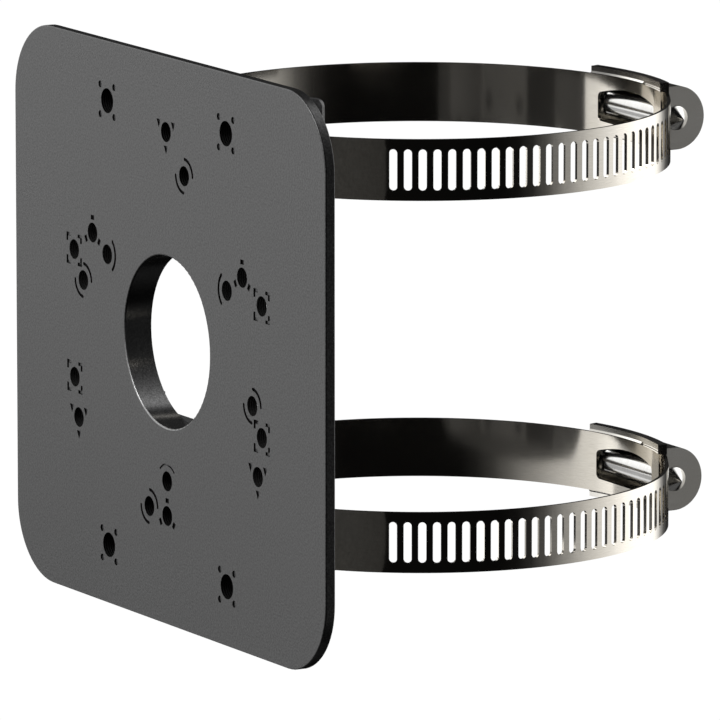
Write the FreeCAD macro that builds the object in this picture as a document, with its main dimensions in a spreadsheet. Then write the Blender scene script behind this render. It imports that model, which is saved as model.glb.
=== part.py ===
import FreeCAD, Part
import Sketcher
import math
import os

# Camera pole mount bracket: a rounded mounting plate with a cable hole and groups of camera
# screw holes, two bent saddles behind it, and two perforated worm-drive clamps for the pole.
# Millimetres. X to the right, Y from the plate's front face back to the pole, Z up.
# Origin: centre of the cable hole, on the plate's front face.

V = FreeCAD.Vector
doc = FreeCAD.newDocument("camera_pole_mount_bracket")

# ---------------------------------------------------------------- driving dimensions
DIMS = [
    ("plate_width", 125.6, "plate, along X"),
    ("plate_height", 114.0, "plate, along Z"),
    ("plate_thickness", 2.2, "plate at its edge"),
    ("corner_radius", 15.0, "plate corners in plan"),
    ("edge_radius", 0.3, "softened edges of the plate"),
    ("cable_radius", 17.25, "cable hole"),
    ("boss_radius", 21.5, "ring boss round the cable hole"),
    ("boss_depth", 6.1, "front face to the rear of the bosses"),
    ("hole_boss_radius", 4.2, "bosses behind the four large holes"),
    ("hole_boss_depth", 5.0, "front face to the rear of those bosses"),
    ("pad_half_width", 15.0, "saddle pads, half along X"),
    ("pad_inner_low", 17.0, "inner pads start"),
    ("pad_inner_high", 25.5, "inner pads end"),
    ("pad_outer_low", 46.0, "outer pads start"),
    ("pad_outer_high", 51.0, "outer pads end"),
    ("large_hole_radius", 2.5, "corner camera holes"),
    ("large_hole_x", 24.0, "corner camera holes, from the middle"),
    ("large_hole_z", 45.0, "corner camera holes, from the middle"),
    ("small_hole_radius", 2.0, "other camera holes"),
    ("wide_circle", 42.0, "hole circle radius of the widest group"),
    ("middle_circle", 35.0, "hole circle radius of the two middle groups"),
    ("narrow_circle", 28.0, "hole circle radius of the smallest group"),
    ("four_angle", 78.0, "first hole of the group of four, degrees"),
    ("pair_x", 38.0, "rectangle group, from the middle"),
    ("pair_z", 13.0, "rectangle group, from the middle"),
    ("mark_depth", 0.30, "engraved marks"),
    ("saddle_sheet", 1.0, "saddle sheet thickness"),
    ("saddle_flat", 15.0, "half width of the saddle's flat middle"),
    ("saddle_reach_x", 32.4, "wing end, from the middle"),
    ("saddle_reach_y", 17.6, "wing end, from the front face"),
    ("saddle_low", 16.4, "saddle edge beside the cable hole"),
    ("saddle_high", 51.6, "saddle outer edge"),
    ("saddle_corner", 1.6, "rounded corners of the wings"),
    ("slot_low_x", 13.5, "band slot in the saddle, inner end"),
    ("slot_high_x", 24.5, "band slot in the saddle, outer end"),
    ("slot_half_height", 6.7, "band slot in the saddle, half height"),
    ("fixing_x", 10.0, "saddle screws, from the middle"),
    ("fixing_inner_z", 21.2, "saddle screws beside the cable hole"),
    ("fixing_outer_z", 48.5, "saddle screws at the outer pads"),
    ("fixing_radius", 1.5, "saddle screw shank"),
    ("fixing_head", 2.45, "saddle screw countersunk head"),
    ("fixing_tip", 1.3, "front face to the end of the saddle screws"),
    ("pole_axis", 58.0, "front face to the axis of both clamps"),
    ("upper_clamp_z", 37.8, "middle of the upper clamp"),
    ("lower_clamp_z", -36.2, "middle of the lower clamp"),
    ("band_inner", 49.4, "band's inner radius"),
    ("band_sheet", 0.65, "band thickness"),
    ("band_height", 12.13, "band height"),
    ("band_flat_y", 5.3, "front face to the band's middle behind the plate"),
    ("band_bend", 5.0, "band's bends behind the plate"),
    ("band_leave", -50.0, "angle where the band leaves the circle"),
    ("inner_end", 71.7, "angle of the inner layer's end"),
    ("tail_end", 77.2, "angle of the tail's end"),
    ("tail_step", 60.2, "angle where the tail starts to ride up"),
    ("tail_lift", 0.7, "tail's step over the inner layer"),
    ("perforation_first", -36.5, "first perforation, degrees"),
    ("perforation_pitch", 3.31, "perforation pitch, degrees"),
    ("perforation_height", 8.2, "perforation height"),
    ("perforation_width", 1.6, "perforation width"),
    ("window_half_length", 10.7, "window under the screw"),
    ("window_half_height", 3.84, "window under the screw, at its middle"),
    ("window_end_height", 2.35, "window under the screw, upper half height at its ends"),
    ("window_end_depth", 3.35, "window under the screw, lower half height at its ends"),
    ("window_corner", 1.1, "window under the screw, rounded corners"),
    ("strap_half_length", 13.2, "base strap, half along X"),
    ("strap_half_height", 7.5, "base strap, half along Z"),
    ("strap_inner", 49.95, "base strap rails, inner radius"),
    ("lip_inner", 49.6, "sloped lip under the strap's rails, inner radius"),
    ("lip_height", 6.52, "sloped lip under the strap's rails, top, half along Z"),
    ("lip_slope", 0.33, "lip's chamfer"),
    ("lip_end", 4.6, "lip's end along X"),
    ("lip_centre", 3.0, "lip's arc, its centre off the pole axis"),
    ("strap_outer", 51.85, "base strap rails, outer radius"),
    ("web_inner", 50.8, "base strap web over the tail"),
    ("web_outer", 51.2, "base strap web"),
    ("screw_axis", 52.35, "pole axis to the screw axis"),
    ("tunnel_outer", 6.45, "screw tunnel outer radius"),
    ("tunnel_inner", 5.4, "screw tunnel inner radius"),
    ("tunnel_half_length", 12.9, "screw tunnel, half along X"),
    ("tunnel_end", 0.8, "screw tunnel end walls"),
    ("journal_hole", 2.5, "holes in the tunnel's end walls"),
    ("journal_radius", 2.43, "screw journals"),
    ("barrel_radius", 2.9, "screw barrel"),
    ("barrel_half_length", 10.4, "screw barrel, half along X"),
    ("neck_radius", 1.4, "screw necks"),
    ("journal_start", 12.4, "screw journals start"),
    ("journal_stop", 13.85, "screw journals end"),
    ("point_start", 13.15, "cone point's base"),
    ("tip_stop", 15.7, "cone point's end"),
    ("collar_radius", 3.9, "collar under the hex head"),
    ("collar_stop", 14.75, "collar's outer face"),
    ("head_flats", 6.5, "hex head across flats"),
    ("head_stop", 18.6, "hex head's outer face"),
    ("driver_slot", 1.2, "driver slot width"),
    ("driver_depth", 1.6, "driver slot depth"),
]
sheet = doc.addObject("Spreadsheet::Sheet", "Dims")
for row, (alias, value, note) in enumerate(DIMS, start=1):
    sheet.set("A%d" % row, note)
    sheet.set("B%d" % row, "%g" % value)
    sheet.setAlias("B%d" % row, alias)
doc.recompute()


def dim(alias):
    """A size as it stands in the sheet."""
    return float(sheet.get(alias))


# ---------------------------------------------------------------- helpers
def new_body(label, place=V(0, 0, 0)):
    body = doc.addObject("PartDesign::Body", label)
    body.Label = label
    body.Placement = FreeCAD.Placement(place, FreeCAD.Rotation())
    return body


def plane(body, role):
    for feature in body.Origin.OriginFeatures:
        if feature.Role == role:
            return feature
    raise RuntimeError("no plane " + role)


def new_sketch(body, name, role, offset=0.0):
    """A sketch on one of the body's origin planes, offset along the plane's normal."""
    sketch = body.newObject("Sketcher::SketchObject", name)
    sketch.AttachmentSupport = [(plane(body, role), "")]
    sketch.MapMode = "FlatFace"
    sketch.AttachmentOffset = FreeCAD.Placement(V(0, 0, offset), FreeCAD.Rotation())
    return sketch


def bind(sketch, kind_args, expression):
    """Add a driving constraint and bind it to the sheet."""
    index = sketch.addConstraint(Sketcher.Constraint(*kind_args))
    sketch.setExpression("Constraints[%d]" % index, expression)
    return index


def add_box(sketch, low_x, high_x, low_z, high_z, exprs):
    """A rectangle with its four sides placed from the sheet."""
    c = [V(low_x, low_z, 0), V(high_x, low_z, 0), V(high_x, high_z, 0), V(low_x, high_z, 0)]
    n = [sketch.addGeometry(Part.LineSegment(c[i], c[(i + 1) % 4]), False) for i in range(4)]
    for i in range(4):
        sketch.addConstraint(Sketcher.Constraint("Coincident", n[i], 2, n[(i + 1) % 4], 1))
    sketch.addConstraint(Sketcher.Constraint("Horizontal", n[0]))
    sketch.addConstraint(Sketcher.Constraint("Horizontal", n[2]))
    sketch.addConstraint(Sketcher.Constraint("Vertical", n[1]))
    sketch.addConstraint(Sketcher.Constraint("Vertical", n[3]))
    bind(sketch, ("DistanceX", -1, 1, n[0], 1, low_x), exprs[0])
    bind(sketch, ("DistanceX", -1, 1, n[0], 2, high_x), exprs[1])
    bind(sketch, ("DistanceY", -1, 1, n[0], 1, low_z), exprs[2])
    bind(sketch, ("DistanceY", -1, 1, n[2], 1, high_z), exprs[3])


def add_circle(sketch, x, z, radius, x_expr, z_expr, r_expr):
    """A circle with its centre and radius from the sheet."""
    n = sketch.addGeometry(Part.Circle(V(x, z, 0), V(0, 0, 1), radius), False)
    if x_expr is None and z_expr is None:
        sketch.addConstraint(Sketcher.Constraint("Coincident", n, 3, -1, 1))
    else:
        if abs(x) < 1e-9:
            sketch.addConstraint(Sketcher.Constraint("PointOnObject", n, 3, -2))
        else:
            bind(sketch, ("DistanceX", -1, 1, n, 3, x), x_expr)
        if abs(z) < 1e-9:
            sketch.addConstraint(Sketcher.Constraint("PointOnObject", n, 3, -1))
        else:
            bind(sketch, ("DistanceY", -1, 1, n, 3, z), z_expr)
    bind(sketch, ("Radius", n, radius), r_expr)
    return n


def add_loop(sketch, edges):
    """A closed loop of exact lines and arcs, held where the sheet's values put it."""
    for edge in edges:
        n = sketch.addGeometry(edge, False)
        sketch.addConstraint(Sketcher.Constraint("Block", n))


def segment(a, b):
    return Part.LineSegment(V(a[0], a[1], 0), V(b[0], b[1], 0))


def arc(cx, cy, radius, start, stop):
    """An arc, counter-clockwise from start to stop, in degrees."""
    circle = Part.Circle(V(cx, cy, 0), V(0, 0, 1), radius)
    return Part.ArcOfCircle(circle, math.radians(start), math.radians(stop))


def polygon(points):
    return [segment(points[i], points[(i + 1) % len(points)]) for i in range(len(points))]


def on_circle(cx, cy, radius, angle):
    t = math.radians(angle)
    return (cx + radius * math.cos(t), cy + radius * math.sin(t))


def pad(body, name, sketch, length_expr, reverse=False, middle=False):
    feature = body.newObject("PartDesign::Pad", name)
    feature.Profile = sketch
    feature.Type = 0
    feature.setExpression("Length", length_expr)
    feature.Midplane = middle
    feature.Reversed = reverse
    sketch.Visibility = False
    doc.recompute()
    return feature


def pocket(body, name, sketch, length_expr=None, reverse=False, middle=False):
    """Cut the sketch out and make sure that material went."""
    before = body.Shape.Volume
    feature = body.newObject("PartDesign::Pocket", name)
    feature.Profile = sketch
    if length_expr is None:
        feature.Type = 1
    else:
        feature.Type = 0
        feature.setExpression("Length", length_expr)
    feature.Midplane = middle
    feature.Reversed = reverse
    sketch.Visibility = False
    doc.recompute()
    if not body.Shape.Volume < before - 1e-4:
        raise RuntimeError("pocket %s cut nothing" % name)
    return feature


def names_of_edges(shape, test):
    return ["Edge%d" % (i + 1) for i, e in enumerate(shape.Edges) if test(e)]


def round_edges(body, name, base, test, radius_expr):
    names = names_of_edges(base.Shape, test)
    if not names:
        raise RuntimeError("no edges for " + name)
    feature = body.newObject("PartDesign::Fillet", name)
    feature.Base = (base, names)
    feature.setExpression("Radius", radius_expr)
    doc.recompute()
    return feature


def bottom_box(edge):
    return edge.BoundBox


def strip_loop(path, half):
    """The outline of a bent strip of thickness 2*half along a path that only turns left.

    The path is a list of ("line", p, q) and ("arc", cx, cy, radius, start, stop)."""
    right, left = [], []
    for step in path:
        if step[0] == "line":
            (x1, y1), (x2, y2) = step[1], step[2]
            length = math.hypot(x2 - x1, y2 - y1)
            nx, ny = (y2 - y1) / length * half, -(x2 - x1) / length * half
            right.append(("line", (x1 + nx, y1 + ny), (x2 + nx, y2 + ny)))
            left.append(("line", (x1 - nx, y1 - ny), (x2 - nx, y2 - ny)))
        else:
            _, cx, cy, radius, start, stop = step
            right.append(("arc", cx, cy, radius + half, start, stop))
            left.append(("arc", cx, cy, radius - half, start, stop))

    def first(step):
        return step[1] if step[0] == "line" else on_circle(step[1], step[2], step[3], step[4])

    def last(step):
        return step[2] if step[0] == "line" else on_circle(step[1], step[2], step[3], step[5])

    def edge(step):
        return segment(step[1], step[2]) if step[0] == "line" else arc(*step[1:])

    edges = [edge(s) for s in right]
    edges.append(segment(last(right[-1]), last(left[-1])))
    edges += [edge(s) for s in reversed(left)]
    edges.append(segment(first(left[0]), first(right[0])))
    return edges


# ---------------------------------------------------------------- mounting plate
plate = new_body("mounting_plate")
half_w, half_h = dim("plate_width") / 2, dim("plate_height") / 2
sk = new_sketch(plate, "plate_outline", "XZ_Plane")
add_box(sk, -half_w, half_w, -half_h, half_h,
        ("-Dims.plate_width / 2", "Dims.plate_width / 2", "-Dims.plate_height / 2", "Dims.plate_height / 2"))
slab = pad(plate, "plate_slab", sk, "Dims.plate_thickness", reverse=True)
corners = round_edges(plate, "plate_corners", slab,
                      lambda e: e.BoundBox.YLength > 1 and e.BoundBox.XLength < 0.01 and e.BoundBox.ZLength < 0.01,
                      "Dims.corner_radius")
rim = round_edges(plate, "plate_edges", corners,
                  lambda e: e.BoundBox.YLength < 0.01, "Dims.edge_radius")
# ring boss and four saddle pads, cast with the plate
sk = new_sketch(plate, "ring_boss_outline", "XZ_Plane", -0.5)
add_circle(sk, 0, 0, dim("boss_radius"), None, None, "Dims.boss_radius")
pad(plate, "ring_boss", sk, "Dims.boss_depth - 0.5", reverse=True)
sk = new_sketch(plate, "pad_outline", "XZ_Plane", -0.5)
for sign in (1, -1):
    for low, high in (("pad_inner_low", "pad_inner_high"), ("pad_outer_low", "pad_outer_high")):
        a, b = (low, high) if sign > 0 else (high, low)
        s = "" if sign > 0 else "-"
        add_box(sk, -dim("pad_half_width"), dim("pad_half_width"), sign * dim(a), sign * dim(b),
                ("-Dims.pad_half_width", "Dims.pad_half_width", s + "Dims." + a, s + "Dims." + b))
pad(plate, "saddle_pads", sk, "Dims.boss_depth - 0.5", reverse=True)
# bosses behind the four large holes, for their full depth of thread
sk = new_sketch(plate, "hole_boss_outline", "XZ_Plane", -0.5)
for sx in (1, -1):
    for sz in (1, -1):
        add_circle(sk, sx * dim("large_hole_x"), sz * dim("large_hole_z"), dim("hole_boss_radius"),
                   "%d * Dims.large_hole_x" % sx, "%d * Dims.large_hole_z" % sz, "Dims.hole_boss_radius")
pad(plate, "hole_bosses", sk, "Dims.hole_boss_depth - 0.5", reverse=True)
# cable hole
sk = new_sketch(plate, "cable_hole_outline", "XZ_Plane")
add_circle(sk, 0, 0, dim("cable_radius"), None, None, "Dims.cable_radius")
cable_hole = pocket(plate, "cable_hole", sk)
round_edges(plate, "cable_hole_rim", cable_hole,
            lambda e: isinstance(e.Curve, Part.Circle) and abs(e.Curve.Radius - dim("cable_radius")) < 1e-4
            and e.BoundBox.YMax < 0.01, "Dims.edge_radius")
# camera screw holes
sk = new_sketch(plate, "camera_hole_outline", "XZ_Plane")
LARGE, WIDE, BARS, ARCS, CURVES, BRACKETS = [], [], [], [], [], []
for sx in (1, -1):
    for sz in (1, -1):
        x, z = sx * dim("large_hole_x"), sz * dim("large_hole_z")
        add_circle(sk, x, z, dim("large_hole_radius"), "%d * Dims.large_hole_x" % sx,
                   "%d * Dims.large_hole_z" % sz, "Dims.large_hole_radius")
        LARGE.append((x, z))
        x, z = sx * dim("pair_x"), sz * dim("pair_z")
        add_circle(sk, x, z, dim("small_hole_radius"), "%d * Dims.pair_x" % sx,
                   "%d * Dims.pair_z" % sz, "Dims.small_hole_radius")
        BRACKETS.append((x, z))


def hole_circle(alias, start_expr, start, count, found):
    for i in range(count):
        t = start + 360.0 / count * i
        radius = dim(alias)
        x, z = radius * math.cos(math.radians(t)), radius * math.sin(math.radians(t))
        turn = "(%s + %g)" % (start_expr, 360.0 / count * i)
        add_circle(sk, x, z, dim("small_hole_radius"),
                   "Dims.%s * cos(%s * 1 deg)" % (alias, turn),
                   "Dims.%s * sin(%s * 1 deg)" % (alias, turn), "Dims.small_hole_radius")
        found.append((x, z, t))


hole_circle("wide_circle", "90", 90, 3, WIDE)
hole_circle("middle_circle", "30", 30, 3, BARS)
hole_circle("middle_circle", "Dims.four_angle", dim("four_angle"), 4, ARCS)
hole_circle("narrow_circle", "30", 30, 3, CURVES)
pocket(plate, "camera_holes", sk)
# blind holes for the saddle screws, from behind
sk = new_sketch(plate, "fixing_hole_outline", "XZ_Plane", -dim("boss_depth"))
FIXINGS = []
for sx in (1, -1):
    for sz in (1, -1):
        for alias in ("fixing_inner_z", "fixing_outer_z"):
            x, z = sx * dim("fixing_x"), sz * dim(alias)
            add_circle(sk, x, z, dim("fixing_radius"), "%d * Dims.fixing_x" % sx,
                       "%d * Dims.%s" % (sz, alias), "Dims.fixing_radius")
            FIXINGS.append((x, z))
sk.setExpression(".AttachmentOffset.Base.z", "-Dims.boss_depth")
pocket(plate, "fixing_holes", sk, "Dims.boss_depth - Dims.fixing_tip", reverse=True)
# engraved marks that tell the hole groups apart
sk = new_sketch(plate, "mark_outline", "XZ_Plane")
for x, z in LARGE:
    for sx in (1, -1):
        for sz in (1, -1):
            add_loop(sk, [Part.Circle(V(x + 2.85 * sx, z + 3.0 * sz, 0), V(0, 0, 1), 0.7)])
for x, z, t in WIDE:
    for angle in (30, 150, 270):
        cx, cz = on_circle(x, z, 3.35, angle)
        add_loop(sk, polygon([(cx - 0.85, cz + 0.58), (cx, cz - 1.12), (cx + 0.85, cz + 0.58)]))
for x, z, t in BARS:
    for angle in (90, 210, 330):
        a = math.radians(angle)
        ux, uz, vx, vz = math.cos(a), math.sin(a), -math.sin(a), math.cos(a)
        add_loop(sk, polygon([(x + ux * r + vx * w, z + uz * r + vz * w)
                              for r, w in ((2.6, -0.68), (3.55, -0.68), (3.55, 0.68), (2.6, 0.68))]))


def curved_slot(cx, cz, low, high, start, stop):
    middle, half = (low + high) / 2, (high - low) / 2
    ax, az = on_circle(cx, cz, middle, start)
    bx, bz = on_circle(cx, cz, middle, stop)
    return [arc(cx, cz, high, start, stop), arc(bx, bz, half, stop, stop + 180),
            arc(cx, cz, low, start, stop), arc(ax, az, half, start + 180, start + 360)]


for x, z, t in ARCS:
    for start in (4, 184):
        add_loop(sk, curved_slot(x, z, 3.06, 3.72, start, start + 82))
for x, z, t in CURVES:
    # a long curve on the side of the cable hole; the two upper ones stand upright
    facing = {30: 180, 150: 0, 270: 90}[int(round(t)) % 360]
    cx, cz = on_circle(x, z, -0.74, facing)
    low, high = (3.86, 4.26) if facing == 90 else (3.72, 4.4)
    add_loop(sk, curved_slot(cx, cz, low, high, facing - 44, facing + 44))
for x, z in BRACKETS:
    for sx in (1, -1):
        for sz in (1, -1):
            shape = [(1.45, 2.48), (2.48, 2.48), (2.48, 1.45), (3.2, 1.45), (3.2, 3.2), (1.45, 3.2)]
            add_loop(sk, polygon([(x + sx * p, z + sz * q) for p, q in shape]))
pocket(plate, "engraved_marks", sk, "Dims.mark_depth")

# ---------------------------------------------------------------- saddles
RISE = math.atan2(dim("saddle_reach_y") - dim("boss_depth") - dim("saddle_sheet"),
                  dim("saddle_reach_x") - dim("saddle_flat"))


def bent_sheet(flat_y, flat_x, reach_x, rise, half, bend):
    """Path of a sheet with a flat middle and two wings, from the left wing to the right one."""
    back = bend * math.tan(rise / 2)
    deg = math.degrees(rise)
    tip = (reach_x, flat_y + (reach_x - flat_x) * math.tan(rise))
    out = (flat_x + back * math.cos(rise), flat_y + back * math.sin(rise))
    return [("line", (-tip[0], tip[1]), (-out[0], out[1])),
            ("arc", -(flat_x - back), flat_y + bend, bend, 270 - deg, 270),
            ("line", (-(flat_x - back), flat_y), (flat_x - back, flat_y)),
            ("arc", flat_x - back, flat_y + bend, bend, 270, 270 + deg),
            ("line", out, tip)]


def make_saddle(label, sign, clamp_alias):
    body = new_body(label, V(0, 0, sign * (dim("saddle_low") + dim("saddle_high")) / 2))
    z0 = sign * (dim("saddle_low") + dim("saddle_high")) / 2
    middle_y = dim("boss_depth") + dim("saddle_sheet") / 2
    sk = new_sketch(body, label + "_profile", "XY_Plane")
    add_loop(sk, strip_loop(bent_sheet(middle_y, dim("saddle_flat"), dim("saddle_reach_x"), RISE,
                                       dim("saddle_sheet") / 2, 3.0), dim("saddle_sheet") / 2))
    sheet_pad = pad(body, label + "_sheet", sk, "Dims.saddle_high - Dims.saddle_low", middle=True)
    # two slots that the band passes through
    sk = new_sketch(body, label + "_slot_outline", "XZ_Plane")
    zc = dim(clamp_alias) - z0
    base = "(Dims.%s - %d * (Dims.saddle_low + Dims.saddle_high) / 2)" % (clamp_alias, sign)
    low, high = base + " - Dims.slot_half_height", base + " + Dims.slot_half_height"
    h = dim("slot_half_height")
    add_box(sk, dim("slot_low_x"), dim("slot_high_x"), zc - h, zc + h,
            ("Dims.slot_low_x", "Dims.slot_high_x", low, high))
    add_box(sk, -dim("slot_high_x"), -dim("slot_low_x"), zc - h, zc + h,
            ("-Dims.slot_high_x", "-Dims.slot_low_x", low, high))
    pocket(body, label + "_slots", sk)
    # screw holes, countersunk on the pole side
    sk = new_sketch(body, label + "_hole_outline", "XZ_Plane")
    for sx in (1, -1):
        for alias in ("fixing_inner_z", "fixing_outer_z"):
            z = sign * dim(alias) - z0
            add_circle(sk, sx * dim("fixing_x"), z, dim("fixing_radius"), "%d * Dims.fixing_x" % sx,
                       "%d * (Dims.%s - (Dims.saddle_low + Dims.saddle_high) / 2)" % (sign, alias),
                       "Dims.fixing_radius")
    holes = pocket(body, label + "_holes", sk)
    back_y = dim("boss_depth") + dim("saddle_sheet")
    sink = body.newObject("PartDesign::Chamfer", label + "_countersinks")
    sink.Base = (holes, names_of_edges(holes.Shape, lambda e: isinstance(e.Curve, Part.Circle)
                                       and abs(e.BoundBox.YMin - back_y) < 1e-4
                                       and abs(e.BoundBox.YMax - back_y) < 1e-4
                                       and abs(e.Curve.Radius - dim("fixing_radius")) < 1e-4))
    sink.setExpression("Size", "Dims.fixing_head - Dims.fixing_radius")
    doc.recompute()
    round_edges(body, label + "_corners", sink,
                lambda e: e.BoundBox.ZLength < 1e-4 and abs(e.Length - dim("saddle_sheet")) < 1e-3
                and min(abs(e.BoundBox.XMin), abs(e.BoundBox.XMax)) > dim("saddle_reach_x") - 1.5,
                "Dims.saddle_corner")
    return body


upper_saddle = make_saddle("upper_saddle", 1, "upper_clamp_z")
lower_saddle = make_saddle("lower_saddle", -1, "lower_clamp_z")


# saddle screws: countersunk, with a hexagon socket, four separate ones to a saddle
def make_saddle_screws(label, sign):
    shapes = []
    top = dim("boss_depth") + dim("saddle_sheet")
    drop = dim("fixing_head") - dim("fixing_radius")
    for x, z in FIXINGS:
        if z * sign < 0:
            continue
        shank = Part.makeCylinder(dim("fixing_radius"), top - dim("fixing_tip") - drop + 0.001,
                                  V(x, dim("fixing_tip"), z), V(0, 1, 0))
        head = Part.makeCone(dim("fixing_radius"), dim("fixing_head"), drop,
                             V(x, top - drop, z), V(0, 1, 0))
        socket = [V(x + 1.155 * math.cos(math.radians(60 * i)), top - 0.9,
                    z + 1.155 * math.sin(math.radians(60 * i))) for i in range(7)]
        hexagon = Part.Face(Part.makePolygon(socket)).extrude(V(0, 1.2, 0))
        shapes.append(shank.fuse(head).removeSplitter().cut(hexagon))
    group = doc.addObject("Part::Feature", label)
    group.Label = label
    group.Shape = Part.makeCompound(shapes)
    group.Placement = FreeCAD.Placement(V(0, 0, 0), FreeCAD.Rotation())
    return group


upper_saddle_screws = make_saddle_screws("upper_saddle_screws", 1)
lower_saddle_screws = make_saddle_screws("lower_saddle_screws", -1)


# ---------------------------------------------------------------- worm-drive clamps
def band_path():
    """Middle line of the band, from the inner layer's end round to the tail's end."""
    half = dim("band_sheet") / 2
    r1 = dim("band_inner") + half
    r2 = r1 + dim("tail_lift")
    leave = dim("band_leave")
    turn = leave + 90.0                      # the straight runs slope this much, in degrees
    slope = math.radians(turn)
    x1, y1 = on_circle(0, 0, r1, leave)
    flat_y = dim("band_flat_y") - dim("pole_axis")
    corner_x = x1 - (y1 - flat_y) / math.tan(slope)
    bend = dim("band_bend")
    back = bend * math.tan(slope / 2)
    out = (corner_x + back * math.cos(slope), flat_y + back * math.sin(slope))
    path = [("arc", 0, 0, r1, dim("inner_end"), 180 - leave),
            ("line", (-x1, y1), (-out[0], out[1])),
            ("arc", -(corner_x - back), flat_y + bend, bend, 270 - turn, 270),
            ("line", (-(corner_x - back), flat_y), (corner_x - back, flat_y)),
            ("arc", corner_x - back, flat_y + bend, bend, 270, 270 + turn),
            ("line", out, (x1, y1)),
            ("arc", 0, 0, r1, leave, dim("tail_step"))]
    # the tail runs straight off the circle and then curls back onto a slightly larger one
    curl = 12.0
    along = math.sqrt((r2 - r1) * (r2 + r1 - 2 * curl))
    step = dim("tail_step")
    t = math.radians(step)
    nx, ny, tx, ty = math.cos(t), math.sin(t), -math.sin(t), math.cos(t)
    start = (r1 * nx, r1 * ny)
    stop = (start[0] + along * tx, start[1] + along * ty)
    cx, cy = (r1 - curl) * nx + along * tx, (r1 - curl) * ny + along * ty
    seat = math.degrees(math.atan2(cy, cx))
    path += [("line", start, stop), ("arc", cx, cy, curl, step, seat),
             ("arc", 0, 0, r2, seat, dim("tail_end"))]
    return path


def sector(low, high, left, right):
    """Ring sector between two upright lines, on the side of the clamp housing."""
    a = [math.degrees(math.acos(left / low)), math.degrees(math.acos(right / low))]
    b = [math.degrees(math.acos(left / high)), math.degrees(math.acos(right / high))]
    return [arc(0, 0, low, a[1], a[0]),
            segment(on_circle(0, 0, low, a[0]), on_circle(0, 0, high, b[0])),
            arc(0, 0, high, b[1], b[0]),
            segment(on_circle(0, 0, high, b[1]), on_circle(0, 0, low, a[1]))]


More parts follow.
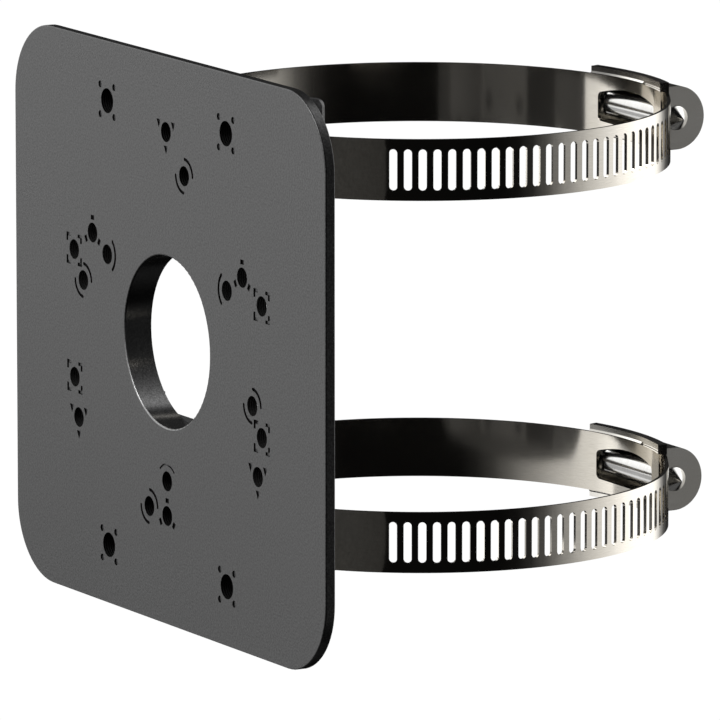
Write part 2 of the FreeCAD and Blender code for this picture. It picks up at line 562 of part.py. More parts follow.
def make_clamp(prefix, z_alias):
    place = V(0, dim("pole_axis"), dim(z_alias))

    # band: one perforated strip
    band = new_body(prefix + "_band", place)
    sk = new_sketch(band, prefix + "_band_profile", "XY_Plane")
    add_loop(sk, strip_loop(band_path(), dim("band_sheet") / 2))
    pad(band, prefix + "_band_strip", sk, "Dims.band_height", middle=True)
    # window in the inner layer under the screw
    sk = new_sketch(band, prefix + "_window_outline", "XZ_Plane")
    w, h = dim("window_half_length"), dim("window_half_height")
    high, low = dim("window_end_height"), dim("window_end_depth")
    bow = [(w * w + (h - e) ** 2) / (2 * (h - e)) for e in (high, low)]
    turn = [math.degrees(math.asin(w / r)) for r in bow]
    add_loop(sk, [arc(0, h - bow[0], bow[0], 90 - turn[0], 90 + turn[0]), segment((-w, high), (-w, -low)),
                  arc(0, bow[1] - h, bow[1], 270 - turn[1], 270 + turn[1]), segment((w, -low), (w, high))])
    window = pocket(band, prefix + "_window", sk)
    round_edges(band, prefix + "_window_corners", window,
                lambda e: abs(abs(e.BoundBox.XMin) - w) < 1e-3 and abs(abs(e.BoundBox.XMax) - w) < 1e-3
                and e.BoundBox.ZLength < 1e-3 and e.BoundBox.YMin > 40.0 and abs(e.BoundBox.ZMin) < h,
                "Dims.window_corner")
    # perforations: round-ended slots, cut towards the tail's outer side
    sk = new_sketch(band, prefix + "_perforation_outline", "YZ_Plane", 48.0)
    half_w = dim("perforation_width") / 2
    half_h = dim("perforation_height") / 2 - half_w
    add_loop(sk, [segment((half_w, -half_h), (half_w, half_h)), arc(0, half_h, half_w, 0, 180),
                  segment((-half_w, half_h), (-half_w, -half_h)), arc(0, -half_h, half_w, 180, 360)])
    first, pitch = dim("perforation_first"), dim("perforation_pitch")
    count = int((dim("inner_end") - 1.5 - first) / pitch) + 1
    # the slot sketch stands at the first perforation, turned about the pole axis
    turn = FreeCAD.Rotation(V(0, 0, 1), first)
    sk.MapMode = "Deactivated"
    upright = FreeCAD.Rotation(V(1, 1, 1), 120)
    sk.Placement = FreeCAD.Placement(turn.multVec(V(48.0, 0, 0)), turn.multiply(upright))
    cut = pocket(band, prefix + "_perforation", sk, "4", reverse=True)
    pattern = band.newObject("PartDesign::PolarPattern", prefix + "_perforations")
    pattern.Originals = [cut]
    for feature in band.Origin.OriginFeatures:
        if feature.Role == "Z_Axis":
            pattern.Axis = (feature, [""])
    pattern.Angle = pitch * (count - 1)
    pattern.setExpression("Angle", "Dims.perforation_pitch * %d" % (count - 1))
    pattern.Occurrences = count
    band.Tip = pattern
    doc.recompute()

    # base strap: rails above and below the band, joined over it by a thin web
    strap = new_body(prefix + "_clamp_strap", place)
    x = dim("strap_half_length")
    low, high = dim("strap_inner"), dim("strap_outer")
    a = math.degrees(math.acos(x / low))
    sk = new_sketch(strap, prefix + "_strap_profile", "XY_Plane")
    add_loop(sk, [arc(0, 0, low, a, 180 - a), segment(on_circle(0, 0, low, 180 - a), on_circle(0, 0, high, 180 - a)),
                  arc(0, 0, high, a, 180 - a), segment(on_circle(0, 0, high, a), on_circle(0, 0, low, a))])
    pad(strap, prefix + "_strap_block", sk, "2 * Dims.strap_half_height", middle=True)
    # a lip along the open end of the rails hooks over the band's edges
    sk = new_sketch(strap, prefix + "_strap_lip_profile", "XY_Plane")
    off, r0, r1 = dim("lip_centre"), dim("lip_inner") - dim("lip_centre"), dim("strap_inner") + 0.4
    ends = [-12.9, dim("lip_end")]
    a = [math.degrees(math.acos(e / r0)) for e in ends]
    b = [math.degrees(math.acos(e / r1)) for e in ends]
    add_loop(sk, [arc(0, off, r0, a[1], a[0]),
                  segment(on_circle(0, off, r0, a[0]), on_circle(0, 0, r1, b[0])),
                  arc(0, 0, r1, b[1], b[0]),
                  segment(on_circle(0, 0, r1, b[1]), on_circle(0, off, r0, a[1]))])
    pad(strap, prefix + "_strap_lip", sk, "2 * Dims.lip_height", middle=True)
    sk = new_sketch(strap, prefix + "_strap_channel_profile", "XY_Plane")
    add_loop(sk, sector(dim("strap_inner") - 1.0, dim("web_inner"), -11.2, x + 1))
    pocket(strap, prefix + "_strap_channel", sk, "Dims.band_height + 0.16", middle=True)
    sk = new_sketch(strap, prefix + "_strap_seat_profile", "XY_Plane")
    add_loop(sk, sector(dim("strap_inner") - 1.0, dim("band_inner") + dim("band_sheet"), -x - 1, -11.0))
    pocket(strap, prefix + "_strap_seat", sk, "Dims.band_height + 0.16", middle=True)
    sk = new_sketch(strap, prefix + "_strap_relief_profile", "XY_Plane")
    add_loop(sk, sector(dim("web_outer"), dim("strap_outer") + 1.0, -x - 1, x + 1))
    pocket(strap, prefix + "_strap_relief", sk, "2 * Dims.tunnel_inner", middle=True)
    sk = new_sketch(strap, prefix + "_strap_window_outline", "XZ_Plane")
    add_box(sk, -11.2, 11.2, -4.5, 4.5, ("-11.2", "11.2", "-4.5", "4.5"))
    cut = pocket(strap, prefix + "_strap_window", sk)
    slope = strap.newObject("PartDesign::Chamfer", prefix + "_strap_lip_slope")
    slope.Base = (cut, names_of_edges(cut.Shape, lambda e: isinstance(e.Curve, Part.Circle)
                                      and abs(e.Curve.Radius - r0) < 1e-3
                                      and abs(abs(e.BoundBox.ZMin) - dim("lip_height")) < 1e-3
                                      and e.BoundBox.ZLength < 1e-3))
    slope.setExpression("Size", "Dims.lip_slope")
    strap.Tip = slope
    doc.recompute()

    # housing: half-round tunnel with flat end walls, sitting on the strap
    housing = new_body(prefix + "_clamp_housing", place)
    axis = dim("screw_axis")
    sk = new_sketch(housing, prefix + "_tunnel_outline", "YZ_Plane")
    r = dim("tunnel_outer")
    add_loop(sk, [arc(axis, 0, r, -90, 90), segment((axis, r), (47.0, r)),
                  segment((47.0, r), (47.0, -r)), segment((47.0, -r), (axis, -r))])
    pad(housing, prefix + "_tunnel_block", sk, "2 * Dims.tunnel_half_length", middle=True)
    sk = new_sketch(housing, prefix + "_tunnel_bore_outline", "YZ_Plane")
    r = dim("tunnel_inner")
    add_loop(sk, [arc(axis, 0, r, -90, 90), segment((axis, r), (46.0, r)),
                  segment((46.0, r), (46.0, -r)), segment((46.0, -r), (axis, -r))])
    pocket(housing, prefix + "_tunnel_bore", sk,
           "2 * Dims.tunnel_half_length - 2 * Dims.tunnel_end", middle=True)
    sk = new_sketch(housing, prefix + "_journal_outline", "YZ_Plane")
    add_circle(sk, axis, 0, dim("journal_hole"), "Dims.screw_axis", "0", "Dims.journal_hole")
    pocket(housing, prefix + "_journals", sk, "4 * Dims.tunnel_half_length", middle=True)
    sk = new_sketch(housing, prefix + "_seat_outline", "XY_Plane")
    add_circle(sk, 0, 0, dim("strap_outer"), None, None, "Dims.strap_outer")
    pocket(housing, prefix + "_seat", sk, "4 * Dims.tunnel_outer", middle=True)

    # worm screw: barrel between two journals, a cone point and a slotted hex head
    screw = new_body(prefix + "_worm_screw", place + V(0, axis, 0))
    sk = new_sketch(screw, prefix + "_screw_profile", "XY_Plane")
    b, n, j = dim("barrel_radius"), dim("neck_radius"), dim("journal_radius")
    bx, j0, j1 = dim("barrel_half_length"), dim("journal_start"), dim("journal_stop")
    c, cx = dim("collar_radius"), dim("collar_stop")
    j2, tip = dim("point_start"), dim("tip_stop")
    add_loop(sk, polygon([(-cx, 0), (-cx, c - 0.2), (-cx + 0.2, c), (-j1, c), (-j1, j), (-j0, j), (-j0, n),
                          (-bx - 0.4, n), (-bx, b), (bx, b), (bx + 0.4, n), (j0, n), (j0, j), (j2, j), (tip - 0.16, 0.2), (tip, 0)]))
    turned = screw.newObject("PartDesign::Revolution", prefix + "_screw_turned")
    turned.Profile = sk
    turned.ReferenceAxis = (sk, ["H_Axis"])
    turned.Angle = 360
    sk.Visibility = False
    doc.recompute()
    sk = new_sketch(screw, prefix + "_head_outline", "YZ_Plane", -cx)
    sk.setExpression(".AttachmentOffset.Base.z", "-Dims.collar_stop")
    add_loop(sk, polygon([on_circle(0, 0, dim("head_flats") / math.sqrt(3), 60 * i) for i in range(6)]))
    pad(screw, prefix + "_head", sk, "Dims.head_stop - Dims.collar_stop", reverse=True)
    sk = new_sketch(screw, prefix + "_driver_outline", "YZ_Plane", -dim("head_stop"))
    sk.setExpression(".AttachmentOffset.Base.z", "-Dims.head_stop")
    add_box(sk, -dim("driver_slot") / 2, dim("driver_slot") / 2, -6, 6,
            ("-Dims.driver_slot / 2", "Dims.driver_slot / 2", "-6", "6"))
    pocket(screw, prefix + "_driver_slot", sk, "Dims.driver_depth", reverse=True)
    return [band, strap, housing, screw]


upper = make_clamp("upper", "upper_clamp_z")
lower = make_clamp("lower", "lower_clamp_z")

# ---------------------------------------------------------------- check and write
doc.recompute()
NODES = [plate, upper_saddle, lower_saddle, upper_saddle_screws, lower_saddle_screws] + upper + lower
bad = [o.Name for o in doc.Objects if "Invalid" in o.State or "Error" in o.State]
if bad:
    raise RuntimeError("failed objects: " + ", ".join(bad))
for node in NODES:
    shape = node.Shape
    if shape.isNull() or not shape.isValid():
        raise RuntimeError("bad shape: " + node.Label)
    print("%-22s solids %2d  volume %10.2f  X %8.2f %8.2f  Y %8.2f %8.2f  Z %8.2f %8.2f" % (
        node.Label, len(shape.Solids), shape.Volume, shape.BoundBox.XMin, shape.BoundBox.XMax,
        shape.BoundBox.YMin, shape.BoundBox.YMax, shape.BoundBox.ZMin, shape.BoundBox.ZMax))
os.makedirs("parts", exist_ok=True)
for node in NODES:
    node.Shape.exportStep("parts/%s.step" % node.Label)
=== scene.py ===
import math
import bpy
import bmesh
from mathutils import Vector, Matrix


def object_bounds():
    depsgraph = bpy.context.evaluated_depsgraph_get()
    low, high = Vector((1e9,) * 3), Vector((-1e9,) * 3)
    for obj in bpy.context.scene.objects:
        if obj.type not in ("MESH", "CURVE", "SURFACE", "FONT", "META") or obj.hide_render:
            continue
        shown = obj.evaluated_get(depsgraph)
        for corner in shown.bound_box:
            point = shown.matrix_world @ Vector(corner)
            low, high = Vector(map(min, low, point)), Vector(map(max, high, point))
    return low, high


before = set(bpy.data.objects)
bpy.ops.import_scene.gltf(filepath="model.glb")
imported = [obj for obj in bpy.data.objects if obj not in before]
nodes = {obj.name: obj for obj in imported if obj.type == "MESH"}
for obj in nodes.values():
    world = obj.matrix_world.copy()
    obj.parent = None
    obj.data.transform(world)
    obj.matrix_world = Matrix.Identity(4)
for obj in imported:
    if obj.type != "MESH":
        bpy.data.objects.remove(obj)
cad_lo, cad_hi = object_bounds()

MM = 0.001
scene = bpy.context.scene

AXIS_Y = 58.0                                   # axis of the pole and of both clamps, mm
CLAMP_Z = {"upper": 37.8, "lower": -36.2}       # mid height of each clamp, mm
SCREW_Y = 110.35                                # axis of the worm screws, mm


# ---------------------------------------------------------------- node helpers
class Tree:
    """Small helper that adds linked nodes to a node tree."""

    def __init__(self, tree):
        self.t = tree
        self.n = tree.nodes
        self.l = tree.links

    def node(self, kind, **props):
        n = self.n.new(kind)
        for k, v in props.items():
            setattr(n, k, v)
        return n

    def link(self, a, b):
        self.l.new(a, b)

    def math(self, op, a, b=None, c=None, clamp=False):
        n = self.node("ShaderNodeMath", operation=op, use_clamp=clamp)
        for i, v in enumerate((a, b, c)):
            if v is None:
                continue
            if isinstance(v, (int, float)):
                n.inputs[i].default_value = v
            else:
                self.link(v, n.inputs[i])
        return n.outputs[0]

    def smooth(self, value, lo, hi, out_lo=0.0, out_hi=1.0):
        n = self.node("ShaderNodeMapRange", interpolation_type="SMOOTHSTEP")
        self.link(value, n.inputs["Value"])
        n.inputs["From Min"].default_value = lo
        n.inputs["From Max"].default_value = hi
        n.inputs["To Min"].default_value = out_lo
        n.inputs["To Max"].default_value = out_hi
        return n.outputs["Result"]

    def ramp(self, value, stops, interpolation="LINEAR"):
        n = self.node("ShaderNodeValToRGB")
        cr = n.color_ramp
        cr.interpolation = interpolation
        while len(cr.elements) > 1:
            cr.elements.remove(cr.elements[-1])
        first = True
        for pos, col in stops:
            if isinstance(col, (int, float)):
                col = (col, col, col)
            if first:
                e = cr.elements[0]
                e.position = pos
                first = False
            else:
                e = cr.elements.new(pos)
            e.color = (col[0], col[1], col[2], 1.0)
        self.link(value, n.inputs[0])
        return n.outputs["Color"]

    def noise(self, vector, scale, detail=3.0, rough=0.5, distortion=0.0):
        n = self.node("ShaderNodeTexNoise")
        n.inputs["Scale"].default_value = scale
        n.inputs["Detail"].default_value = detail
        n.inputs["Roughness"].default_value = rough
        n.inputs["Distortion"].default_value = distortion
        if vector is not None:
            self.link(vector, n.inputs["Vector"])
        return n.outputs["Fac"]

    def mix(self, fac, a, b, blend="MIX"):
        n = self.node("ShaderNodeMix", data_type="RGBA", blend_type=blend)
        for sock, v in (("Factor", fac), ("A", a), ("B", b)):
            s = [i for i in n.inputs if i.name == sock and i.enabled][0]
            if isinstance(v, (int, float)) and sock == "Factor":
                s.default_value = v
            elif isinstance(v, (tuple, list)):
                s.default_value = (v[0], v[1], v[2], 1.0)
            else:
                self.link(v, s)
        return [o for o in n.outputs if o.name == "Result" and o.enabled][0]


def material(name):
    m = bpy.data.materials.new(name)
    m.use_nodes = True
    t = Tree(m.node_tree)
    bsdf = [n for n in m.node_tree.nodes if n.type == "BSDF_PRINCIPLED"][0]
    return m, t, bsdf


# ---------------------------------------------------------------- materials
def coated(name, tone, rough, grain=1.0, level=0.55):
    """Satin dark coat: fine grain in height and gloss, faint cloudiness."""
    m, t, b = material(name)
    co = t.node("ShaderNodeTexCoord").outputs["Object"]
    fine = t.noise(co, 2600.0, 2.0, 0.55)
    mid = t.noise(co, 620.0, 3.0, 0.55)
    cloud = t.noise(co, 34.0, 3.0, 0.5)
    # colour: the base tone, a little cloudy, with fine pepper
    dark = tuple(c * 0.80 for c in tone)
    light = tuple(c * 1.25 for c in tone)
    col = t.ramp(cloud, [(0.30, dark), (0.70, light)])
    pepper = t.ramp(fine, [(0.36, 0.72), (0.66, 1.30)])
    col = t.mix(0.55, col, pepper, "MULTIPLY")
    t.link(col, b.inputs["Base Color"])
    r = t.math("ADD", t.math("MULTIPLY", fine, 0.16 * grain), rough - 0.08 * grain)
    r = t.math("ADD", r, t.math("MULTIPLY", t.math("SUBTRACT", cloud, 0.5), 0.06))
    t.link(r, b.inputs["Roughness"])
    t.link(t.ramp(fine, [(0.36, level * 0.68), (0.66, level * 1.32)]), b.inputs["Specular IOR Level"])
    h = t.math("ADD", t.math("MULTIPLY", fine, 0.6), t.math("MULTIPLY", mid, 0.4))
    bump = t.node("ShaderNodeBump")
    bump.inputs["Strength"].default_value = 0.6 * grain
    bump.inputs["Distance"].default_value = 0.00008
    t.link(h, bump.inputs["Height"])
    t.link(bump.outputs["Normal"], b.inputs["Normal"])
    b.inputs["Metallic"].default_value = 0.0
    b.inputs["IOR"].default_value = 1.5
    return m


def strip_coords(t, zc):
    """Coordinates along a band: length round the pole axis, height, and the object coordinates. Metres."""
    co = t.node("ShaderNodeTexCoord").outputs["Object"]
    s = t.node("ShaderNodeSeparateXYZ")
    t.link(co, s.inputs[0])
    y = t.math("SUBTRACT", s.outputs["Y"], AXIS_Y * MM)
    ang = t.math("ARCTAN2", y, s.outputs["X"])
    length = t.math("MULTIPLY", ang, 0.0497)
    z = t.math("SUBTRACT", s.outputs["Z"], zc * MM)
    return length, z, co


def stainless(name, zc, base, rough, streak=1.0, brushed=True):
    """Rolled stainless strip: mirror finish with fine rolling lines along its length and faint handling marks."""
    m, t, b = material(name)
    length, z, co = strip_coords(t, zc)
    comb = t.node("ShaderNodeCombineXYZ")
    t.link(t.math("MULTIPLY", length, 0.04), comb.inputs["X"])
    t.link(z, comb.inputs["Z"])
    lines = t.noise(comb.outputs[0], 9000.0, 3.0, 0.6)
    comb2 = t.node("ShaderNodeCombineXYZ")
    t.link(t.math("MULTIPLY", length, 0.12), comb2.inputs["X"])
    t.link(z, comb2.inputs["Z"])
    broad = t.noise(comb2.outputs[0], 900.0, 2.0, 0.5)
    smear = t.noise(co, 70.0, 4.0, 0.55, 0.4)
    speck = t.noise(co, 5200.0, 1.0, 0.5)
    lo = tuple(c * 0.90 for c in base)
    hi = tuple(min(1.0, c * 1.06) for c in base)
    col = t.ramp(lines, [(0.30, lo), (0.70, hi)])
    tint = t.ramp(smear, [(0.30, (0.94, 0.92, 0.88)), (0.70, (1.0, 1.0, 1.0))])
    col = t.mix(0.6, col, tint, "MULTIPLY")
    t.link(col, b.inputs["Base Color"])
    r = t.math("ADD", t.math("MULTIPLY", lines, 0.05 * streak), rough - 0.02 * streak)
    r = t.math("ADD", r, t.math("MULTIPLY", t.smooth(smear, 0.45, 0.75), 0.035))
    r = t.math("ADD", r, t.math("MULTIPLY", t.smooth(speck, 0.62, 0.72), 0.03), clamp=True)
    t.link(r, b.inputs["Roughness"])
    h = t.math("ADD", t.math("MULTIPLY", lines, 0.5), t.math("MULTIPLY", broad, 0.5))
    bump = t.node("ShaderNodeBump")
    bump.inputs["Strength"].default_value = 0.05 * streak
    bump.inputs["Distance"].default_value = 0.00002
    t.link(h, bump.inputs["Height"])
    t.link(bump.outputs["Normal"], b.inputs["Normal"])
    b.inputs["Metallic"].default_value = 1.0
    return m


def dark_end(mat, zc, left, right, floor_level):
    """Darker run at the open end of a strap's upper rail: scales the base colour along X, down to floor_level,
    above the strap's mid height.
    """
    t = Tree(mat.node_tree)
    b = [n for n in mat.node_tree.nodes if n.type == "BSDF_PRINCIPLED"][0]
    link = b.inputs["Base Color"].links[0]
    src = link.from_socket
    co = t.node("ShaderNodeTexCoord").outputs["Object"]
    s = t.node("ShaderNodeSeparateXYZ")
    t.link(co, s.inputs[0])
    wobble = t.math("MULTIPLY", t.math("SUBTRACT", t.noise(co, 300.0, 3.0, 0.5), 0.5), 0.003)
    f = t.smooth(t.math("ADD", s.outputs["X"], wobble), left * MM, right * MM, floor_level, 1.0)
    f = t.math("MAXIMUM", f, t.smooth(s.outputs["Z"], (zc + 2.0) * MM, (zc - 2.0) * MM))
    t.link(t.mix(1.0, src, f, "MULTIPLY"), b.inputs["Base Color"])
    return mat


def low_side_highlight_paint(mat, high, low, least):
    """Painted highlight on the lower part of a rim: a reflective rim whose base colour is scaled along Z,
    brightest at the bottom and dimmed towards the top.
    """
    t = Tree(mat.node_tree)
    b = [n for n in mat.node_tree.nodes if n.type == "BSDF_PRINCIPLED"][0]
    src = b.inputs["Base Color"].links[0].from_socket
    co = t.node("ShaderNodeTexCoord").outputs["Object"]
    s = t.node("ShaderNodeSeparateXYZ")
    t.link(co, s.inputs[0])
    wobble = t.math("MULTIPLY", t.math("SUBTRACT", t.noise(co, 300.0, 3.0, 0.5), 0.5), 0.003)
    f = t.smooth(t.math("ADD", s.outputs["Z"], wobble), high * MM, low * MM, least, 1.0)
    t.link(t.mix(1.0, src, f, "MULTIPLY"), b.inputs["Base Color"])
    b.inputs["Metallic"].default_value = 0.8
    return mat


def screw_metal(name, zc, base, rough):
    """Turned screw metal: fine lathe rings round its axis and light scratches."""
    m, t, b = material(name)
    co = t.node("ShaderNodeTexCoord").outputs["Object"]
    s = t.node("ShaderNodeSeparateXYZ")
    t.link(co, s.inputs[0])
    comb = t.node("ShaderNodeCombineXYZ")
    t.link(s.outputs["X"], comb.inputs["X"])
    t.link(t.math("MULTIPLY", s.outputs["Y"], 0.06), comb.inputs["Y"])
    t.link(t.math("MULTIPLY", s.outputs["Z"], 0.06), comb.inputs["Z"])
    rings = t.noise(comb.outputs[0], 7000.0, 2.0, 0.6)
    smear = t.noise(co, 160.0, 3.0, 0.55)
    lo = tuple(c * 0.86 for c in base)
    col = t.ramp(rings, [(0.30, lo), (0.70, base)])
    tint = t.ramp(smear, [(0.30, (0.90, 0.89, 0.87)), (0.70, (1.0, 1.0, 1.0))])
    col = t.mix(0.7, col, tint, "MULTIPLY")
    t.link(col, b.inputs["Base Color"])
    r = t.math("ADD", t.math("MULTIPLY", rings, 0.08), rough - 0.03)
    r = t.math("ADD", r, t.math("MULTIPLY", smear, 0.06), clamp=True)
    t.link(r, b.inputs["Roughness"])
    bump = t.node("ShaderNodeBump")
    bump.inputs["Strength"].default_value = 0.08
    bump.inputs["Distance"].default_value = 0.00002
    t.link(rings, bump.inputs["Height"])
    t.link(bump.outputs["Normal"], b.inputs["Normal"])
    b.inputs["Metallic"].default_value = 1.0
    return m


def thread_turns_painted_shade(name):
    """Near-black paint in the screw holes and the engraved marks, painted shade where these recesses fall dark,
    with fine thread turns along the depth.
    """
    m, t, b = material(name)
    co = t.node("ShaderNodeTexCoord").outputs["Object"]
    s = t.node("ShaderNodeSeparateXYZ")
    t.link(co, s.inputs[0])
    turns = t.math("SINE", t.math("MULTIPLY", s.outputs["Y"], 2.0 * math.pi / 0.0005))
    turns = t.math("ADD", t.math("MULTIPLY", turns, 0.5), 0.5)
    grit = t.noise(co, 3000.0, 2.0, 0.5)
    col = t.mix(t.math("MULTIPLY", turns, grit), (0.0018, 0.0018, 0.0018), (0.007, 0.007, 0.007))
    t.link(col, b.inputs["Base Color"])
    t.link(t.math("ADD", t.math("MULTIPLY", grit, 0.2), 0.55), b.inputs["Roughness"])
    bump = t.node("ShaderNodeBump")
    bump.inputs["Strength"].default_value = 0.8
    bump.inputs["Distance"].default_value = 0.00015
    t.link(turns, bump.inputs["Height"])
    t.link(bump.outputs["Normal"], b.inputs["Normal"])
    b.inputs["Specular IOR Level"].default_value = 0.06
    return m


def paint(node, mat):
    o = nodes[node]
    if not o.material_slots:
        o.data.materials.append(mat)
    for s in o.material_slots:
        s.material = mat


def camera_holes():
    """Centres and radii of the plate's screw holes, mm, and whether their marks are narrow ones."""
    found = [(sx * 24.0, sz * 45.0, 2.5, False) for sx in (1, -1) for sz in (1, -1)]
    found += [(sx * 38.0, sz * 13.0, 2.0, False) for sx in (1, -1) for sz in (1, -1)]
    for radius, start, count in ((42.0, 90, 3), (35.0, 30, 3), (35.0, 78, 4), (28.0, 30, 3)):
        for i in range(count):
            a = math.radians(start + 360.0 / count * i)
            narrow = radius == 35.0 or (radius == 28.0 and math.sin(a) > 0)
            found.append((radius * math.cos(a), radius * math.sin(a), 2.0, narrow))
    return found


def finish_by_place(node, recess, bore, edge, rim):
    """Gives, by face and leaving the mesh as it is: painted shade to the walls of the screw holes and engraved
    marks and to the floors of the narrow marks, a darker copy of the coat (painted shade) to the plate's edge, a
    glossier coat to the cable hole and a painted highlight to its rim."""
    o = nodes[node]
    for mat in (recess, bore, edge, rim):
        o.data.materials.append(mat)
    first = len(o.data.materials) - 4
    holes = camera_holes()
    for p in o.data.polygons:
        c, n = p.center, p.normal
        x, y, z = c.x / MM, c.y / MM, c.z / MM
        # cable hole: glossier coat on its wall; its front rim (y < 0.3) gets the painted highlight
        if math.hypot(x, z) < 17.7 and 0.003 < y < 6.05:
            p.material_index = first + (3 if y < 0.3 else 1)
            continue
        gap, radius, narrow = min((math.hypot(x - hx, z - hz), r, k) for hx, hz, r, k in holes)
        # floors of the narrow marks get the near-black recess paint: painted shade
        if narrow and abs(n.y) > 0.5 and 0.28 < y < 0.32 and gap < 4.2:
            p.material_index = first
            continue
        if abs(n.y) > 0.5 or y < 0.02:
            continue
        # walls of the screw holes and engraved marks get the near-black recess paint: painted shade
        if gap < radius + 0.12 or (gap < 6.5 and y < 0.31):
            p.material_index = first
        # outer edge faces of the plate get a darker copy of the coat: painted shade
        elif y < 2.0 and max(abs(x) - 55.0, abs(z) - 50.0) > 0.0:
            p.material_index = first + 2


plate_mat = coated("satin_coat_plate", (0.008, 0.008, 0.0082), 0.40, 1.0, 0.64)
bore_mat = coated("satin_coat_bore", (0.010, 0.010, 0.0101), 0.16, 0.3, 0.60)
# darker copy of the plate coat for the plate's outer edge faces: painted shade
edge_shade_mat = coated("satin_coat_edge_shaded", (0.006, 0.006, 0.0061), 0.32, 0.6, 0.52)
# rim of the cable hole: reflective coat, bright only low down: painted highlight
rim_mat = low_side_highlight_paint(coated("rim_painted_highlight", (0.19, 0.19, 0.19), 0.28, 0.4, 0.60), 5.0, -9.0, 0.08)
saddle_mat = coated("satin_coat_saddle", (0.022, 0.022, 0.0225), 0.38, 0.7, 0.70)
paint("mounting_plate", plate_mat)
# near-black painted shade in the plate's screw holes and engraved marks
finish_by_place("mounting_plate", thread_turns_painted_shade("recess_painted_shade"), bore_mat, edge_shade_mat, rim_mat)
for side in ("upper", "lower"):
    zc = CLAMP_Z[side]
    paint(side + "_saddle", saddle_mat)
    paint(side + "_saddle_screws", screw_metal("blackened_" + side, zc, (0.05, 0.05, 0.051), 0.38))
    paint(side + "_band", stainless("strip_" + side, zc, (0.70, 0.665, 0.60), 0.075))
    house = stainless("pressed_" + side, zc, (0.83, 0.81, 0.765), 0.16, 1.0)
    paint(side + "_clamp_strap", dark_end(stainless("strap_" + side, zc, (0.83, 0.81, 0.765), 0.16, 1.0), zc,
                                           -9.0, 3.0, 0.16 if side == "upper" else 0.45))
    paint(side + "_clamp_housing", house)
    paint(side + "_worm_screw", screw_metal("turned_" + side, zc, (0.74, 0.735, 0.72), 0.13))


# ---------------------------------------------------------------- floor
def make_floor():
    bm = bmesh.new()
    z = cad_lo[2] - 0.0004
    c = Vector((0.0, 0.058, z))
    rings = [bm.verts.new((c.x, c.y, z))]
    n = 48
    loops = []
    for r in (0.6, 2.5, 9.0):
        loops.append([bm.verts.new((c.x + r * math.cos(2 * math.pi * i / n), c.y + r * math.sin(2 * math.pi * i / n), z)) for i in range(n)])
    for i in range(n):
        j = (i + 1) % n
        bm.faces.new((rings[0], loops[0][i], loops[0][j]))
        for a, b in zip(loops, loops[1:]):
            bm.faces.new((a[i], b[i], b[j], a[j]))
    me = bpy.data.meshes.new("floor")
    bm.to_mesh(me)
    bm.free()
    o = bpy.data.objects.new("floor", me)
    scene.collection.objects.link(o)
    m = bpy.data.materials.new("pale_floor")
    m.use_nodes = True
    t = Tree(m.node_tree)
    for x in list(m.node_tree.nodes):
        m.node_tree.nodes.remove(x)
    out = t.node("ShaderNodeOutputMaterial")
    em = t.node("ShaderNodeEmission")
    em.inputs["Color"].default_value = (1.0, 1.0, 1.0, 1.0)
    em.inputs["Strength"].default_value = 1.02
    t.link(em.outputs[0], out.inputs["Surface"])
    me.materials.append(m)
    o.visible_glossy = False
    o.visible_diffuse = False
    o.visible_shadow = False
    o.visible_transmission = False
    return o


make_floor()


def make_flag():
    """Grey card low in front, outside the picture: it shades the foot of the plate's reflection a little."""
    bm = bmesh.new()
    rows = []
    for h in (-0.155, -0.30, -0.60):
        rows.append([bm.verts.new((x, -0.30, h)) for x in (-1.8, -1.4, -1.0, -0.7, -0.42)])
    for r0, r1 in zip(rows, rows[1:]):
        for i in range(4):
            bm.faces.new((r0[i], r0[i + 1], r1[i + 1], r1[i]))
    me = bpy.data.meshes.new("shade_card")
    bm.to_mesh(me)
    bm.free()
    o = bpy.data.objects.new("shade_card", me)
    scene.collection.objects.link(o)
    m = bpy.data.materials.new("grey_card")
    m.use_nodes = True
    t = Tree(m.node_tree)
    for x in list(m.node_tree.nodes):
        m.node_tree.nodes.remove(x)
    out = t.node("ShaderNodeOutputMaterial")
    em = t.node("ShaderNodeEmission")
    em.inputs["Color"].default_value = (1.0, 1.0, 1.0, 1.0)
    em.inputs["Strength"].default_value = 0.50
    t.link(em.outputs[0], out.inputs["Surface"])
    me.materials.append(m)
    o.visible_camera = False
    o.visible_shadow = False


def make_lamp(name, here, size_x, size_y, power):
    """Soft lamp that faces the origin, out of the camera's sight."""
    d = bpy.data.lights.new(name, "AREA")
    d.shape = "RECTANGLE"
    d.size = size_x
    d.size_y = size_y
    d.energy = power
    o = bpy.data.objects.new(name, d)
    scene.collection.objects.link(o)
    back = here.normalized()
    right = Vector((0, 0, 1)).cross(back).normalized()
    up = back.cross(right).normalized()
    o.matrix_world = Matrix(((right.x, up.x, back.x, here.x), (right.y, up.y, back.y, here.y),
                             (right.z, up.z, back.z, here.z), (0, 0, 0, 1)))
    o.visible_camera = False


# two small lamps in front, for the highlights on the rounded edges
make_lamp("top_soft", Vector((0.0, -0.31, 0.30)), 0.18, 0.18, 1.5)
make_lamp("front_strip", Vector((0.17, -0.46, 0.16)), 0.06, 0.40, 0.75)
make_flag()


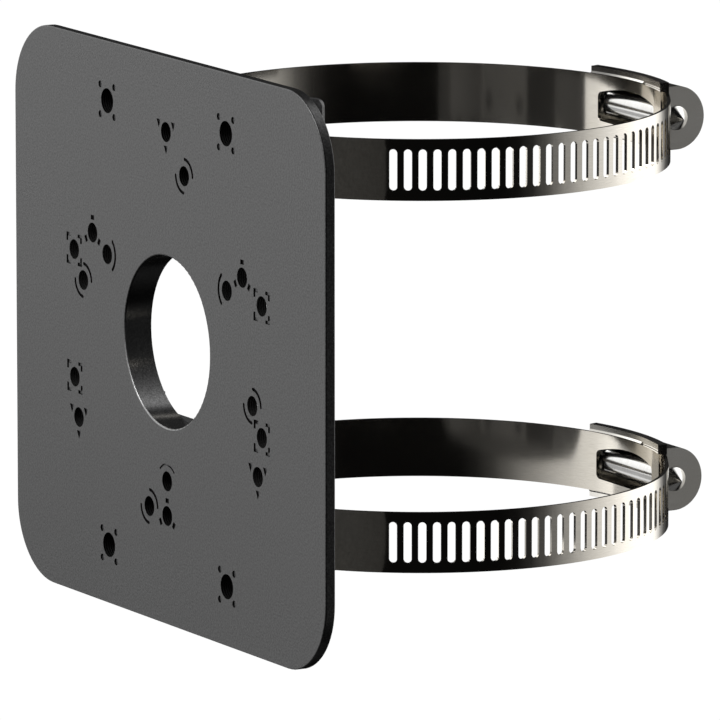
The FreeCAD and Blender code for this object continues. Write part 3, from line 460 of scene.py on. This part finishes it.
# ---------------------------------------------------------------- studio
def studio():
    w = bpy.data.worlds.new("studio")
    scene.world = w
    w.use_nodes = True
    t = Tree(w.node_tree)
    for x in list(w.node_tree.nodes):
        w.node_tree.nodes.remove(x)
    out = t.node("ShaderNodeOutputWorld")
    co = t.node("ShaderNodeTexCoord").outputs["Generated"]
    s = t.node("ShaderNodeSeparateXYZ")
    t.link(co, s.inputs[0])
    x, y, z = s.outputs["X"], s.outputs["Y"], s.outputs["Z"]
    az = t.math("MULTIPLY", t.math("ARCTAN2", y, x), 180.0 / math.pi)
    el = t.math("MULTIPLY", t.math("ARCSINE", z), 180.0 / math.pi)

    # tall soft surround: dark on the viewer's side, rising to white at the back right and at the left
    table = [(-180, 1.55), (-132, 1.30), (-121.8, .98), (-113.8, .88), (-105.8, .72), (-97.8, .57), (-89.8, .40), (-81.8, .27),
             (-73.8, .135), (-65.8, .048), (-57.8, .012), (-49.8, .002), (6, .0012), (14.2, .0045), (22.2, .021), (30.2, .098),
             (38.2, .30), (46.2, .50), (54.2, .75), (62.2, .95), (70.2, 1.18), (78, 1.48), (88, 1.75), (106, 1.7), (112, 1.3),
             (118, .50), (124, .12), (132, .03), (152, .015), (162, .09), (170, .6), (180, 1.55)]
    around = t.math("DIVIDE", t.math("ADD", az, 180.0), 360.0)
    low = t.ramp(around, [((a + 180.0) / 360.0, v / 1.8) for a, v in table])
    low = t.math("MULTIPLY", low, 1.8)
    low = t.math("MULTIPLY", low, t.smooth(el, 84.0, 64.0))
    low = t.math("MULTIPLY", low, t.smooth(el, 15.0, 50.0, 1.0, 1.35))
    low = t.math("MULTIPLY", low, t.smooth(el, -42.0, -22.0))
    total = t.math("ADD", low, 0.0022)
    total = t.math("ADD", total, t.smooth(el, -48.0, -70.0, 0.0, 0.10))
    bg = t.node("ShaderNodeBackground")
    bg.inputs["Strength"].default_value = 1.0
    cr = t.node("ShaderNodeCombineXYZ")
    for k, f in (("X", 1.0), ("Y", 1.0), ("Z", 1.0)):
        t.link(t.math("MULTIPLY", total, f), cr.inputs[k])
    t.link(cr.outputs[0], bg.inputs["Color"])
    plain = t.node("ShaderNodeBackground")
    plain.inputs["Color"].default_value = (1.0, 1.0, 1.0, 1.0)
    plain.inputs["Strength"].default_value = 1.02
    lp = t.node("ShaderNodeLightPath")
    mx = t.node("ShaderNodeMixShader")
    t.link(lp.outputs["Is Camera Ray"], mx.inputs[0])
    t.link(bg.outputs[0], mx.inputs[1])
    t.link(plain.outputs[0], mx.inputs[2])
    t.link(mx.outputs[0], out.inputs["Surface"])


studio()


# ---------------------------------------------------------------- camera
def make_camera():
    a, e = math.radians(59.8223), math.radians(10.3857)
    back = Vector((math.sin(a) * math.cos(e), -math.cos(a) * math.cos(e), math.sin(e)))
    right = Vector((0, 0, 1)).cross(back).normalized()
    up = back.cross(right)
    c = (right * 38.186 - up * 3.521 + back * 1967.47) * MM
    cam = bpy.data.objects.new("camera", bpy.data.cameras.new("camera"))
    scene.collection.objects.link(cam)
    cam.matrix_world = Matrix(((right.x, up.x, back.x, c.x), (right.y, up.y, back.y, c.y),
                               (right.z, up.z, back.z, c.z), (0, 0, 0, 1)))
    cam.data.sensor_fit = "AUTO"
    cam.data.sensor_width = 36.0
    cam.data.lens = 498.2
    cam.data.clip_start = 0.05
    cam.data.clip_end = 60.0
    scene.camera = cam


make_camera()
scene.view_settings.view_transform = "Standard"
scene.view_settings.look = "None"
